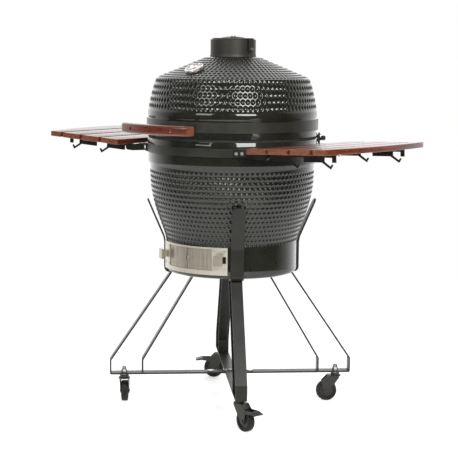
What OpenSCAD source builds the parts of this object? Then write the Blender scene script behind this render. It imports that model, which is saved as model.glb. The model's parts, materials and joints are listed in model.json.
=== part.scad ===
// Kamado ceramic grill on a four-legged rolling stand, with two folding side shelves.
// Millimetres, +Z up. The origin is on the floor under the axis of the ceramic body.
// The front (handle and draft door) faces -Y, the lid hinge is at +Y.

/* [Ceramic body] */
// Outer radius of the rim where lid and base meet
rim_r = 270; // [262:1:280]
// Outer radius of the base's cylindrical foot
foot_r = 210; // [205:1:214]
// Wall thickness of the base
base_wall = 26; // [18:1:30]
// Wall thickness of the lid
lid_wall = 22; // [16:1:26]
// Height of the underside of the base above the floor
base_z = 437; // [430:1:445]
// Height of the base's top rim
rim_z = 864; // [860:1:866]
// Height of the lid's shoulder, where its cone starts
shoulder_z = 1052; // [1040:1:1060]
// Radius of the lid's shoulder
shoulder_r = 241; // [235:1:245]
// Height of the flat seat under the chimney cap
neck_z = 1118; // [1110:1:1122]

/* [Bands and lid hinge] */
// Thickness of the steel bands
band_t = 3; // [2:0.5:4]
// Height of the lower band's bottom edge
lower_band_z = 819; // [815:1:822]
// Width of the lower band
lower_band_w = 26.5; // [22:0.5:28]
// Height of the lid band's bottom edge
lid_band_z = 892; // [888:1:895]
// Width of the lid band
lid_band_w = 32; // [26:1:34]
// Distance of the lid hinge's axis behind the body axis
hinge_y = 318; // [314:1:322]
// Height of the lid hinge's axis
hinge_z = 868; // [866:1:870]
// How far the lid opens
lid_open = 75; // [60:1:80]

/* [Handle, thermometer and chimney] */
// Radius of the handle's centre line about the body axis
handle_r = 374.5; // [370:0.5:380]
// Half of the handle's length, side to side
handle_half = 133; // [120:1:140]
// Depth of the handle bar, front to back
handle_d = 35; // [30:1:38]
// Height of the handle bar
handle_h = 30; // [26:1:34]
// Height of the handle's middle
handle_z = 903; // [900:1:908]
// Distance of the thermometer in front of the body axis
thermo_r = 182; // [170:1:190]
// Tilt of the thermometer's face towards the front
thermo_tilt = 25; // [22:1:30]
// Radius of the thermometer's bezel
thermo_bezel_r = 30; // [26:1:32]
// Outer radius of the chimney cap
cap_r = 71.8; // [68:0.2:74]
// Height of the top of the chimney cap
cap_top = 1172; // [1165:1:1176]

/* [Draft door] */
// Bottom of the draft door's sliding plates
door_z = 464.3; // [462:0.1:466]
// Height of the sliding plates
door_h = 66.4; // [60:0.1:68]
// Angle that each end plate starts at, from the middle
end_plate_a = 24; // [23:0.5:25]
// Half of the angle that the whole frame spans
frame_half = 36.4; // [36:0.1:37]

/* [Side shelves] */
// Distance of the shelf's fold axis from the body axis
fold_x = 292; // [290:1:296]
// Height of the fold axis
fold_z = 825.5; // [824:0.5:828]
// Rise of an unfolded shelf towards its outer edge
shelf_tilt = 2.8; // [0:0.1:3.5]
// Angle by which the shelf's outer edge points towards the front
shelf_sweep = 2.5; // [0:0.5:4]
// Width of a slat
slat_w = 73; // [70:1:75]
// Distance from one slat's edge to the next one's
slat_pitch = 84; // [82:1:86]
// Length of the slats
slat_l = 480; // [460:2:490]
// Thickness of the slats
slat_t = 16.5; // [14:0.5:18]
// Depth of the curve cut into the outer edge
bow = 30; // [20:1:34]

/* [Stand] */
// Thickness of the flat steel
strip_t = 5; // [4:0.5:6]
// Width of the cradle strips
cradle_w = 42; // [38:1:44]
// Width of the leg strips
leg_w = 36; // [32:1:38]
// Distance of the outer legs from the body axis at the knee
knee_r = 391; // [385:1:395]
// Height of the knees
knee_z = 145; // [140:1:150]
// Height of the middle of the foot bars
bar_z = 99; // [98:1:101]
// Distance of the caster stems from the body axis
stem_r = 344.6; // [338:0.2:350]
// Radius of the caster wheels
wheel_r = 33.5; // [32:0.5:34]
// Width of the caster wheels
wheel_w = 21; // [20:1:24]
// Distance of a wheel's axle from its stem
trail = 28; // [26:1:29]

/* [Hidden] */
$fn = 96;

GLAZE = "#3a3b37";
BLACK_STEEL = "#2e2f2b";
BRIGHT_STEEL = "#b9b5ad";
STAINLESS = "#a9a297";
WOOD = "#8b3a1f";
CAST = "#45423c";
FELT = "#1d1d1c";
RUBBER = "#242424";

// Gap between pieces that touch, and radial clearance of a running fit
touch = 0.1;
run_gap = 0.05;
front = -90;

// Corner directions of the stand and where each caster points
FRONT_RIGHT = -45;
REAR_RIGHT = 45;
REAR_LEFT = 135;
FRONT_LEFT = 225;
SWIVEL_FRONT_RIGHT = -11;
SWIVEL_REAR_RIGHT = 220;
SWIVEL_REAR_LEFT = 220;
SWIVEL_FRONT_LEFT = 130;

// Points of a cubic curve from a to d
function curve(a, b, c, d, n) = [
    for (i = [0:n])
        let (t = i / n, s = 1 - t)
        a * s * s * s + 3 * b * s * s * t + 3 * c * s * t * t + d * t * t * t
];
// Points of an arc about c
function arc(c, r, a0, a1, n) = [
    for (i = [0:n])
        let (a = a0 + (a1 - a0) * i / n)
        [c[0] + r * cos(a), c[1] + r * sin(a)]
];
function flip(p) = [for (i = [len(p) - 1:-1:0]) p[i]];
function shift(p, d) = [for (q = p) q + d];
function unit(v) = v / norm(v);
function left_of(v) = [-v[1], v[0]];

// Outline of a strip of thickness t along a path, to the left of the path
function strip(path, t) = concat(path, flip([
    for (i = [0:len(path) - 1])
        let (
            before = unit(path[max(i, 1)] - path[max(i, 1) - 1]),
            after = unit(path[min(i, len(path) - 2) + 1] - path[min(i, len(path) - 2)]),
            mid = unit(before + after)
        )
        path[i] + left_of(mid) * t / (mid * before)
]));

// Part of a ring about the body axis, a0 to a1 degrees
module ring_part(r0, r1, z0, z1, a0, a1) {
    rotate([0, 0, a0])
        rotate_extrude(angle = a1 - a0)
            translate([r0, z0])
                square([r1 - r0, z1 - z0]);
}
// Whole ring about the body axis
module ring(r0, r1, z0, z1) {
    rotate_extrude()
        translate([r0, z0])
            square([r1 - r0, z1 - z0]);
}
// Cylinder that points outwards from the body axis, at angle a
module radial_pin(r, from_r, to_r, z, a) {
    rotate([0, 0, a])
        translate([from_r, 0, z])
            rotate([0, 90, 0])
                cylinder(r = r, h = to_r - from_r);
}
// Upright plate drawn in the plane of X and Z, from y0 to y1
module xz_plate(points, y0, y1) {
    translate([0, y1, 0])
        rotate([90, 0, 0])
            linear_extrude(y1 - y0)
                polygon(points);
}
// Upright plate drawn in the plane of Y and Z, from x0 to x1
module yz_plate(points, x0, x1) {
    translate([x0, 0, 0])
        rotate([90, 0, 90])
            linear_extrude(x1 - x0)
                polygon(points);
}

// ---- ceramic base and what stands inside it ----

foot_edge = 12;
belly_r = 261;
belly_z = 742;
swell_z = 537;
floor_t = 33;
vent_w = 156;
vent_wall = 90;
base_side = curve([foot_r, swell_z], [foot_r + 2, 567], [belly_r + 1, 655],
                  [belly_r, belly_z], 12);
base_outer = concat(
    [[0, base_z]],
    arc([foot_r - foot_edge, base_z + foot_edge], foot_edge, -90, 0, 5),
    base_side,
    [[belly_r + 3, 778], [rim_r - 1, 786], [rim_r, 792], [rim_r, rim_z]]
);
base_inner = concat(
    [[rim_r - base_wall, rim_z], [rim_r - base_wall, 800]],
    flip(shift(base_side, [-base_wall, 0])),
    [[foot_r - base_wall, base_z + floor_t], [0, base_z + floor_t]]
);

module base_shell() {
    color(GLAZE)
        difference() {
            rotate_extrude()
                polygon(concat(base_outer, base_inner));
            translate([-vent_w / 2, -foot_r - 10, door_z + 2])
                cube([vent_w, vent_wall, door_h - 4]);
        }
}

gasket_t = 3.4;
gasket_w = 22;
lid_z = rim_z + 2 * gasket_t + 3 * touch;

module base_gasket() {
    color(FELT)
        ring(rim_r - 2 - gasket_w, rim_r - 2, rim_z, rim_z + gasket_t);
}

module lower_band() {
    color(BLACK_STEEL)
        ring(rim_r + run_gap, rim_r + band_t, lower_band_z, lower_band_z + lower_band_w);
}

box_z = base_z + floor_t + touch;
box_top = 700;
box_wall = 20;
firebox_r = 222;
hearth_r = 170;
hearth_z = 530;

module firebox() {
    color("#b9a58c")
        difference() {
            rotate_extrude()
                polygon([
                    [60, box_z], [hearth_r, box_z], [hearth_r, hearth_z], [205, 620],
                    [firebox_r, box_top], [firebox_r - box_wall, box_top], [185, 622],
                    [hearth_r - box_wall, hearth_z], [hearth_r - box_wall, box_z + 20],
                    [60, box_z + 20]
                ]);
            translate([-50, -hearth_r - 5, box_z + 20])
                cube([100, 40, 34]);
        }
}

fire_ring_top = 775;

module fire_ring() {
    color("#b9a58c")
        difference() {
            ring(firebox_r - 22, firebox_r + 2, box_top + touch, fire_ring_top);
            for (a = [0:60:300])
                radial_pin(8, firebox_r - 30, firebox_r + 10, box_top + 38, a + 30);
        }
}

grate_r = 148;
grate_t = 8;

module charcoal_grate() {
    color("#2b2a28")
        translate([0, 0, hearth_z + 1])
            difference() {
                cylinder(r = grate_r, h = grate_t);
                for (i = [-3:3])
                    translate([-100 + 12 * abs(i), i * 34 - 6, -1])
                        cube([200 - 24 * abs(i), 12, grate_t + 2]);
            }
}

grill_r = 230;
grill_wire = 3;
grill_pitch = 20;

module cooking_grate() {
    rim_in = grill_r - 7;
    mid_z = fire_ring_top + touch + grill_wire;
    color(BRIGHT_STEEL) {
        ring(rim_in, grill_r, mid_z - grill_wire, mid_z + grill_wire);
        for (i = [-10:10]) {
            half = sqrt(pow(rim_in + 3, 2) - pow(i * grill_pitch, 2));
            translate([i * grill_pitch, half, mid_z])
                rotate([90, 0, 0])
                    cylinder(r = grill_wire - 0.5, h = 2 * half, $fn = 24);
        }
    }
}

// ---- draft door ----

frame_r = foot_r + touch;
plate_r0 = foot_r + 4.2;
plate_r1 = foot_r + 6;
door_r0 = foot_r + 1.6;
door_r1 = foot_r + 3.4;
knob_r0 = foot_r + 22;
knob_r1 = foot_r + 29;
rail_low = 14;
rail_high = 5;
door_end_a = 31.6;
knob_a = 30;
door_travel = 4.5;
slot_half_h = 10.5;
slot_gap_a = 0.4;
knob_stem_a = 0.9;
knob_block_a = 3.5;
side_rail_a = 0.6;
screw_a = [25.8, 34.6];
screw_z = [door_z + 5, door_z + door_h - 5];

// Frame round the opening: rails, side rails and a slotted end plate on each side
module vent_frame() {
    low = door_z - 0.3;
    high = door_z + door_h + 0.3;
    whole = frame_half + side_rail_a;
    color(STAINLESS)
        difference() {
            ring_part(frame_r, plate_r1, low - rail_low, high + rail_high,
                      front - whole, front + whole);
            ring_part(frame_r - 1, plate_r1 + 1, low, high,
                      front - end_plate_a, front + end_plate_a);
            ring_part(frame_r - 1, plate_r0, low, high, front - frame_half, front + frame_half);
            for (side = [-1, 1]) {
                slot = front + side * (knob_a + door_travel / 2);
                half = door_travel / 2 + knob_stem_a + slot_gap_a;
                ring_part(plate_r0 - 1, plate_r1 + 1, knob_z() - slot_half_h,
                          knob_z() + slot_half_h, slot - half, slot + half);
            }
        }
}
function knob_z() = door_z + door_h / 2;

module vent_screws() {
    color(BRIGHT_STEEL)
        for (side = [-1, 1], a = screw_a, z = screw_z)
            radial_pin(2.6, plate_r1 + 0.02, plate_r1 + 2, z, front + side * a);
}

// Curved plate with a half-round finger pull at the middle and a block knob
module vent_door(side) {
    middle = front + side * (door_end_a + 0.3) / 2;
    half = (door_end_a - 0.3) / 2;
    color(STAINLESS) {
        difference() {
            ring_part(door_r0, door_r1, door_z, door_z + door_h, middle - half, middle + half);
            for (i = [0:4])
                radial_pin(1.2, door_r0 - 1, door_r1 + 1, door_z + 12, front + side * (8 + 3 * i));
        }
        intersection() {
            ring_part(door_r1 - 0.2, door_r1 + 4, knob_z() - 14, knob_z() + 14,
                      front + side * 3.5 - 3, front + side * 3.5 + 3);
            radial_pin(10, door_r0, door_r1 + 10, knob_z(), front + side * 0.6);
        }
    }
    color(BLACK_STEEL) {
        ring_part(door_r1 - 0.2, knob_r0 + 0.2, knob_z() - 10, knob_z() + 10,
                  front + side * knob_a - knob_stem_a, front + side * knob_a + knob_stem_a);
        ring_part(knob_r0, knob_r1, knob_z() - 15.5, knob_z() + 15.5,
                  front + side * knob_a - knob_block_a, front + side * knob_a + knob_block_a);
    }
}
module vent_door_left() { vent_door(-1); }
module vent_door_right() { vent_door(1); }

// ---- lid ----

lip_z = 946;
bulge_z = 972;
bulge_r = rim_r - 8;
neck_r = 80;
flue_r = 60;
lid_side = curve([bulge_r, bulge_z], [bulge_r - 3, 1002], [shoulder_r + 10, 1034],
                 [shoulder_r, shoulder_z], 8);
lid_outer = concat(
    [[rim_r - 2, lid_z], [rim_r, lid_z + 2], [rim_r, 928], [rim_r + 2, 934],
     [rim_r + 2, lip_z]],
    lid_side,
    [[neck_r + 6, neck_z - 2], [neck_r, neck_z], [flue_r, neck_z]]
);
cone_drop = lid_wall * 1.1;
lid_inner = concat(
    [[flue_r, neck_z - cone_drop + 4], [neck_r, neck_z - cone_drop - 2]],
    flip(shift(lid_side, [-lid_wall, -lid_wall / 2])),
    [[rim_r - lid_wall, 930], [rim_r - lid_wall, lid_z]]
);
cone_slope = (neck_z - 2 - shoulder_z) / (shoulder_r - neck_r - 6);
thermo_z = shoulder_z + (shoulder_r - thermo_r) * cone_slope;
probe_r = 4;
case_back = 2.4;
case_t = 10;

// Puts its children on the thermometer's axis, with Z out of the dial
module on_thermometer() {
    translate([0, -thermo_r, thermo_z])
        rotate([thermo_tilt, 0, 0])
            children();
}

module lid_shell() {
    color(GLAZE)
        difference() {
            rotate_extrude()
                polygon(concat(lid_outer, lid_inner));
            on_thermometer()
                translate([0, 0, -60])
                    cylinder(r = probe_r + 0.5, h = 80);
        }
}

module lid_gasket() {
    color(FELT)
        ring(rim_r - 2 - gasket_w + 2, rim_r - 3, rim_z + gasket_t + 3 * touch, lid_z);
}

module lid_band() {
    color(BLACK_STEEL)
        ring(rim_r + run_gap, rim_r + band_t, lid_band_z, lid_band_z + lid_band_w);
}

handle_in = handle_r - handle_d / 2;
handle_out = handle_r + handle_d / 2;
handle_edge = 3.5;

handle_span_a = 25;
handle_bow = 70;

// Bowed wooden bar with softened edges, cut square at both ends
module handle() {
    low = handle_z - handle_h / 2;
    high = handle_z + handle_h / 2;
    color(WOOD)
        difference() {
            rotate([0, 0, front - handle_span_a])
                rotate_extrude(angle = 2 * handle_span_a)
                    polygon([
                        [handle_in + handle_edge, low], [handle_out - handle_edge, low],
                        [handle_out, low + handle_edge], [handle_out, high - handle_edge],
                        [handle_out - handle_edge, high], [handle_in + handle_edge, high],
                        [handle_in, high - handle_edge], [handle_in, low + handle_edge]
                    ]);
            for (x0 = [-handle_half - handle_bow, handle_half])
                translate([x0, -handle_out - 1, low - 1])
                    cube([handle_bow, 2 * handle_bow, handle_h + 2]);
            for (side = [-1, 1])
                radial_pin(4.5, handle_out - 8, handle_out + 5, handle_z,
                           front + side * handle_screw_a);
        }
}

handle_screw_a = 12;
bracket_w = 18;

module handle_brackets() {
    color(BLACK_STEEL)
        for (side = [-1, 1]) {
            a = front + side * handle_screw_a;
            low = handle_z - bracket_w / 2 - 1;
            ring_part(rim_r + band_t + touch, rim_r + band_t + 4, low, low + bracket_w, a - 4, a + 4);
            ring_part(handle_in - 4, handle_in - touch, low, low + bracket_w, a - 2.6, a + 2.6);
            rotate([0, 0, a])
                translate([rim_r + band_t + 3, -2.5, low])
                    cube([handle_in - rim_r - band_t - 5, 5, bracket_w]);
        }
}

module handle_screws() {
    color(BRIGHT_STEEL)
        for (side = [-1, 1]) {
            a = front + side * handle_screw_a;
            radial_pin(4.2, handle_out - 8, handle_out - 5, handle_z, a);
            for (step = [-3, 3])
                radial_pin(3.5, rim_r + band_t + 4.02, rim_r + band_t + 7, handle_z - 1, a + step);
        }
}

eye_r = 12;
pin_r = 5;
stop_bar_y = 384;
stop_bar_z = 846;
stop_bar_r = 8;
finger_half = 7;
finger_reach = 64;
stop_reach = norm([stop_bar_y - hinge_y, stop_bar_z - hinge_z]);
stop_angle = atan2(stop_bar_z - hinge_z, stop_bar_y - hinge_y);
finger_angle = stop_angle + lid_open + asin((stop_bar_r + finger_half + 0.8) / stop_reach);
pad_r0 = rim_r + band_t + touch;
pad_r1 = pad_r0 + 4;

// Hinge half on the lid: pad, two cheeks, and a finger that meets the stop bar
module hinge_bracket_upper() {
    low = lid_band_z + 2;
    high = lid_band_z + lid_band_w - 2;
    color(BLACK_STEEL)
        difference() {
            union() {
                ring_part(pad_r0, pad_r1, low, high, 78, 102);
                for (x0 = [-55, 50]) {
                    yz_plate([[271, low], [hinge_y - 6, hinge_z - 8], [hinge_y + 6, hinge_z],
                              [hinge_y, hinge_z + eye_r], [284, high], [271, high]],
                             x0, x0 + 5);
                    translate([x0, hinge_y, hinge_z])
                        rotate([0, 90, 0])
                            cylinder(r = eye_r, h = 5);
                    translate([x0, hinge_y, hinge_z])
                        rotate([finger_angle, 0, 0])
                            translate([0.5, pin_r + 1, -finger_half])
                                cube([4, finger_reach, 2 * finger_half]);
                }
            }
            translate([-60, hinge_y, hinge_z])
                rotate([0, 90, 0])
                    cylinder(r = pin_r + run_gap, h = 120);
        }
}

// Hinge half on the base: pad, two cheeks and the lid's stop bar
module hinge_bracket_lower() {
    low = lower_band_z - 2;
    high = lower_band_z + lower_band_w + 2;
    color(BLACK_STEEL)
        difference() {
            union() {
                ring_part(pad_r0, pad_r1, low, high, 74, 106);
                for (x0 = [-67, 62]) {
                    yz_plate([[267.5, low], [300, low], [stop_bar_y, stop_bar_z - 8],
                              [stop_bar_y + 4, stop_bar_z + 2], [hinge_y + 9, hinge_z + 8],
                              [hinge_y - 10, hinge_z - 2], [267.5, high]],
                             x0, x0 + 5);
                    translate([x0, hinge_y, hinge_z])
                        rotate([0, 90, 0])
                            cylinder(r = eye_r, h = 5);
                }
                translate([-80, stop_bar_y, stop_bar_z])
                    rotate([0, 90, 0])
                        cylinder(r = stop_bar_r, h = 160);
            }
            translate([-90, hinge_y, hinge_z])
                rotate([0, 90, 0])
                    cylinder(r = pin_r, h = 180);
        }
}

module hinge_pin() {
    color(BRIGHT_STEEL)
        translate([0, hinge_y, hinge_z])
            rotate([0, 90, 0]) {
                translate([0, 0, -72])
                    cylinder(r = pin_r, h = 144);
                for (z0 = [-76, 67.1])
                    translate([0, 0, z0])
                        cylinder(r = 8, h = 8.9);
            }
}

coil_r = 9;
wire_r = 2;

// Two close-wound torsion springs that help to lift the lid
module hinge_springs() {
    color(BRIGHT_STEEL)
        for (side = [-1, 1], i = [0:7])
            translate([side * (16 + i * 4.2), hinge_y, hinge_z])
                rotate([0, 90, 0])
                    rotate_extrude($fn = 48)
                        translate([coil_r, 0])
                            circle(r = wire_r, $fn = 24);
}

port_r = 13;
port_at = 40;
cap_floor = 8;

// Cast cap with four ports through its top
module chimney_cap() {
    color(CAST)
        difference() {
            rotate_extrude()
                polygon([
                    [flue_r + 2, neck_z + touch], [cap_r + 1.5, neck_z + touch],
                    [cap_r, neck_z + 8], [cap_r, cap_top - 1], [cap_r - 1, cap_top],
                    [0, cap_top], [0, cap_top - cap_floor], [flue_r, cap_top - cap_floor]
                ]);
            for (a = [0:90:270])
                rotate([0, 0, a])
                    translate([port_at, 0, cap_top - cap_floor - 1])
                        cylinder(r = port_r, h = cap_floor + 2);
            translate([0, 0, cap_top - cap_floor - 1])
                cylinder(r = 4, h = cap_floor + 2);
        }
}

damper_z = cap_top + 0.3;
tab_a = -7;
tab_drop = 38;
dome_r = 185;
dome_h = 9;

// Turning disc over the ports, domed in the middle, with a tab at its edge
module damper_disc() {
    color(CAST)
        difference() {
            union() {
                rotate_extrude()
                    polygon(concat(
                        [[0, damper_z], [66, damper_z], [66, damper_z + 3], [60, damper_z + 4]],
                        arc([0, damper_z + dome_h - dome_r], dome_r, 77, 88, 4),
                        [[0, damper_z + dome_h]]
                    ));
                rotate([0, 0, tab_a]) {
                    translate([60, -9, damper_z])
                        cube([24, 18, 3]);
                    translate([80, -9, damper_z - tab_drop])
                        cube([4, 18, tab_drop + 3]);
                }
            }
            for (a = [45:90:315])
                rotate([0, 0, a])
                    translate([port_at, 0, damper_z - 1])
                        cylinder(r = port_r, h = 20);
            translate([0, 0, damper_z - 1])
                cylinder(r = 3.9, h = 20);
        }
}

module damper_bolts() {
    color(BRIGHT_STEEL) {
        translate([0, 0, cap_top - cap_floor - 4])
            cylinder(r = 3.9, h = cap_floor + dome_h + 5);
        translate([0, 0, damper_z + dome_h + 0.05])
            cylinder(r = 8, h = 2);
        rotate([0, 0, tab_a])
            translate([84.02, 0, damper_z - tab_drop + 8])
                rotate([0, 90, 0])
                    cylinder(r = 5, h = 4);
    }
}

// Bezel and back plate of the thermometer, with its probe through the lid
module thermometer_case() {
    color(BRIGHT_STEEL)
        on_thermometer() {
            rotate_extrude()
                polygon([
                    [0, case_back], [thermo_bezel_r - 2, case_back],
                    [thermo_bezel_r, case_back + 2], [thermo_bezel_r, case_back + case_t - 2],
                    [thermo_bezel_r - 2, case_back + case_t],
                    [thermo_bezel_r - 4, case_back + case_t], [thermo_bezel_r - 5, case_back + 4],
                    [0, case_back + 4]
                ]);
            translate([0, 0, -46])
                cylinder(r = probe_r, h = 46 + case_back + 1);
        }
}

dial_z = case_back + 4.1;

module thermometer_dial() {
    color("#e9e6de")
        on_thermometer()
            translate([0, 0, dial_z])
                difference() {
                    cylinder(r = 24.5, h = 1);
                    translate([0, 0, -1])
                        cylinder(r = 1.05, h = 3);
                }
}

needle_a = 225;

// Pointer on its own spindle
module thermometer_needle() {
    color("#8e2a1e")
        on_thermometer() {
            translate([0, 0, dial_z + 0.05])
                cylinder(r = 1, h = 3);
            translate([0, 0, dial_z + 1.5])
                cylinder(r = 2.6, h = 1.6);
            translate([0, 0, dial_z + 1.7])
                rotate([0, 0, needle_a])
                    linear_extrude(0.8)
                        polygon([[-7, -1.3], [-7, 1.3], [19, 0.4], [19, -0.4]]);
        }
}

// ---- side shelves ----

wood_bottom = 12;
slat_inner = -15;
outer_slat_end = slat_inner + 295;
arm_v = 165;
arm_t = 4;
fold_pin_r = 4;
fold_eye_r = 9;
arm_end = 262;

// Puts its children at the shelf's fold axis: X outwards, Y along the axis
module on_shelf(side) {
    mirror([side < 0 ? 1 : 0, 0, 0])
        rotate([0, 0, -shelf_sweep])
            translate([fold_x, 0, fold_z])
                rotate([0, -shelf_tilt, 0])
                    children();
}

// Slats 1 to 3 are boards. The first one's inner edge is cut round the body.
module shelf_slat(side, n) {
    x0 = slat_inner + (n - 1) * slat_pitch;
    color(WOOD)
        on_shelf(side)
            translate([0, 0, wood_bottom])
                if (n == 1)
                    difference() {
                        translate([x0, -slat_l / 2, 0])
                            cube([slat_w, slat_l, slat_t]);
                        translate([-fold_x, 0, -1])
                            cylinder(r = rim_r + 18, h = slat_t + 2);
                    }
                else if (n < 4)
                    translate([x0, -slat_l / 2, 0])
                        cube([slat_w, slat_l, slat_t]);
                else
                    intersection() {
                        translate([x0, -slat_l / 2, 0])
                            cube([slat_w + 20, slat_l, slat_t]);
                        translate([outer_slat_end + bow - bow_r, 0, -1])
                            cylinder(r = bow_r, h = slat_t + 2);
                    }
}
bow_r = (pow(slat_l / 2, 2) + bow * bow) / (2 * bow);

hook_pitch = 123;
hook_start = 20;
hook_plate = 76;

// Outline of one hanging plate with its hook, from x0 outwards
function hook_plate_points(x0) = [
    [x0, wood_bottom - 24], [x0 + hook_plate - 8, wood_bottom - 24],
    [x0 + hook_plate + 24, wood_bottom - 43], [x0 + hook_plate + 32, wood_bottom - 31],
    [x0 + hook_plate + 28, wood_bottom - 29], [x0 + hook_plate + 23, wood_bottom - 36],
    [x0 + hook_plate, wood_bottom - 22], [x0 + hook_plate, wood_bottom - 9],
    [x0 + hook_plate + 6, wood_bottom - 5], [x0, wood_bottom - 5]
];

module shelf_arms(side) {
    color(BLACK_STEEL)
        on_shelf(side)
            for (v = [-1, 1]) {
                y0 = v * arm_v - arm_t / 2;
                flange_y = v > 0 ? arm_v - 14 : -arm_v;
                translate([-6, flange_y, wood_bottom - 3])
                    cube([arm_end + 6, 14, 3 - touch / 2]);
                difference() {
                    union() {
                        xz_plate([[0, 0], [10, 0], [14, wood_bottom - 10],
                                  [arm_end, wood_bottom - 10], [arm_end, wood_bottom - touch],
                                  [-6, wood_bottom - touch], [-6, 3]],
                                 y0, y0 + arm_t);
                        for (i = [0, 1])
                            xz_plate(hook_plate_points(hook_start + i * hook_pitch),
                                     y0, y0 + arm_t);
                        translate([arm_end - 13, y0, wood_bottom - 24])
                            cube([13, arm_t, 20]);
                        translate([0, y0 + arm_t, 0])
                            rotate([90, 0, 0])
                                cylinder(r = fold_eye_r, h = arm_t);
                    }
                    translate([0, y0 + arm_t + 1, 0])
                        rotate([90, 0, 0])
                            cylinder(r = fold_pin_r + run_gap, h = arm_t + 2);
                }
            }
}

module shelf_screws(side) {
    color(BRIGHT_STEEL)
        on_shelf(side)
            for (v = [-1, 1], n = [0:3], dx = [18, n == 3 ? 30 : 55])
                translate([slat_inner + n * slat_pitch + dx, v * (arm_v - 8.5), wood_bottom - 5.5])
                    cylinder(r = 3.2, h = 2.4, $fn = 32);
}

module shelf_right_slat_1() { shelf_slat(1, 1); }
module shelf_right_slat_2() { shelf_slat(1, 2); }
module shelf_right_slat_3() { shelf_slat(1, 3); }
module shelf_right_slat_4() { shelf_slat(1, 4); }
module shelf_right_arms() { shelf_arms(1); }
module shelf_right_screws() { shelf_screws(1); }
module shelf_left_slat_1() { shelf_slat(-1, 1); }
module shelf_left_slat_2() { shelf_slat(-1, 2); }
module shelf_left_slat_3() { shelf_slat(-1, 3); }
module shelf_left_slat_4() { shelf_slat(-1, 4); }
module shelf_left_arms() { shelf_arms(-1); }
module shelf_left_screws() { shelf_screws(-1); }

mount_gap = 0.5;
mount_t = 5;
mount_v = arm_v + arm_t / 2 + mount_gap;
mount_root = sqrt(pow(pad_r0 + 1, 2) - pow(mount_v, 2));
mount_bolt_a = [41.5, 45];
ear_top = 880;

// Bracket on the lower band: curved foot, cheek plate and fold pin
module shelf_mounts() {
    color(BLACK_STEEL)
        for (side = [0, 1], v = [-1, 1])
            mirror([side, 0, 0])
                rotate([0, 0, -shelf_sweep])
                    mirror([0, v < 0 ? 1 : 0, 0]) {
                        ring_part(pad_r0, pad_r1, lower_band_z + 1,
                                  lower_band_z + lower_band_w - 1, 36, 47);
                        xz_plate([[mount_root, fold_z - 6], [fold_x - 20, fold_z - 10],
                                  [fold_x, fold_z - fold_eye_r], [fold_x, fold_z + fold_eye_r],
                                  [fold_x - 20, fold_z + 10], [mount_root, fold_z + 18]],
                                 mount_v, mount_v + mount_t);
                        translate([fold_x, mount_v + mount_t, fold_z])
                            rotate([90, 0, 0])
                                cylinder(r = fold_eye_r, h = mount_t);
                        translate([fold_x, mount_v + 1, fold_z])
                            rotate([90, 0, 0])
                                cylinder(r = fold_pin_r, h = arm_t + mount_gap + 2.5);
                        translate([fold_x, arm_v - arm_t / 2 - mount_gap, fold_z])
                            rotate([90, 0, 0])
                                cylinder(r = 7, h = 3);
                        if (v > 0)
                            ring_part(pad_r0 + 0.4, pad_r1 + 2, lower_band_z + lower_band_w - 4,
                                      ear_top, 39.5, 43.5);
                    }
}

// Bolt heads on the lower band and under the stand, all of one kind
module bolts() {
    color(BRIGHT_STEEL) {
        for (side = [0, 1], v = [-1, 1])
            mirror([side, 0, 0])
                rotate([0, 0, -shelf_sweep]) {
                    for (a = mount_bolt_a)
                        radial_pin(5, pad_r1 + 0.02, pad_r1 + 4, lower_band_z + 13, v * a);
                    if (v > 0)
                        radial_pin(5, pad_r1 + 2.02, pad_r1 + 6, ear_top - 10, 41.5);
                }
        for (a = [80, 100])
            radial_pin(5, pad_r1 + 0.02, pad_r1 + 4, lower_band_z + 13, a);
        for (r = [-14, 0, 14])
            rotate([0, 0, REAR_RIGHT])
                translate([r, 0, bar_z + strip_t / 2 + 0.02])
                    cylinder(r = 6, h = 5);
        for (r = [-64, 64])
            rotate([0, 0, REAR_RIGHT])
                translate([r, 0, bar_z + strip_t / 2 + 0.02])
                    cylinder(r = 11, h = 3);
    }
}

// ---- stand ----

cradle_tip = [267, 667];
cradle_touch = [foot_r + 5, 547];
cradle_side = foot_r + 1.5;
cradle_bend = 10;
seat_z = base_z - touch;
cradle_path = concat(
    [cradle_tip, cradle_touch, [cradle_side, 530]],
    arc([cradle_side - cradle_bend, seat_z + cradle_bend], cradle_bend, 0, -90, 4),
    [[0, seat_z]]
);
lap = cradle_w + 1;

// Half of a cradle strap: rounded tip, side strip and seat under the base
module cradle_half(a) {
    rotate([0, 0, a])
        intersection() {
            translate([0, cradle_w / 2, 0])
                rotate([90, 0, 0])
                    linear_extrude(cradle_w)
                        polygon(strip(cradle_path, strip_t));
            union() {
                translate([-10, -cradle_w / 2, seat_z - 20])
                    cube([330, cradle_w, 210 - cradle_w / 2 + 40]);
                translate([150, 0, cradle_tip[1] - cradle_w / 2])
                    rotate([0, 90, 0])
                        cylinder(r = cradle_w / 2, h = 150);
            }
        }
}

// Cradle strap across the stand, half-lapped in the middle
module cradle_strap(a, cut_top) {
    color(BLACK_STEEL)
        difference() {
            union() {
                cradle_half(a);
                cradle_half(a + 180);
            }
            rotate([0, 0, a])
                translate([-lap / 2, -lap / 2, cut_top ? seat_z - strip_t / 2 - 0.05 : seat_z - strip_t - 1])
                    cube([lap, lap, strip_t / 2 + 1.05]);
        }
}
module cradle_strap_a() { cradle_strap(REAR_RIGHT, true); }
module cradle_strap_b() { cradle_strap(FRONT_RIGHT, false); }

leg_top_z = seat_z - strip_t - touch;
bar_top = bar_z + strip_t / 2;
outer_top_r = 196;
inner_top_r = 119;
inner_knee_r = 288;

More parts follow.
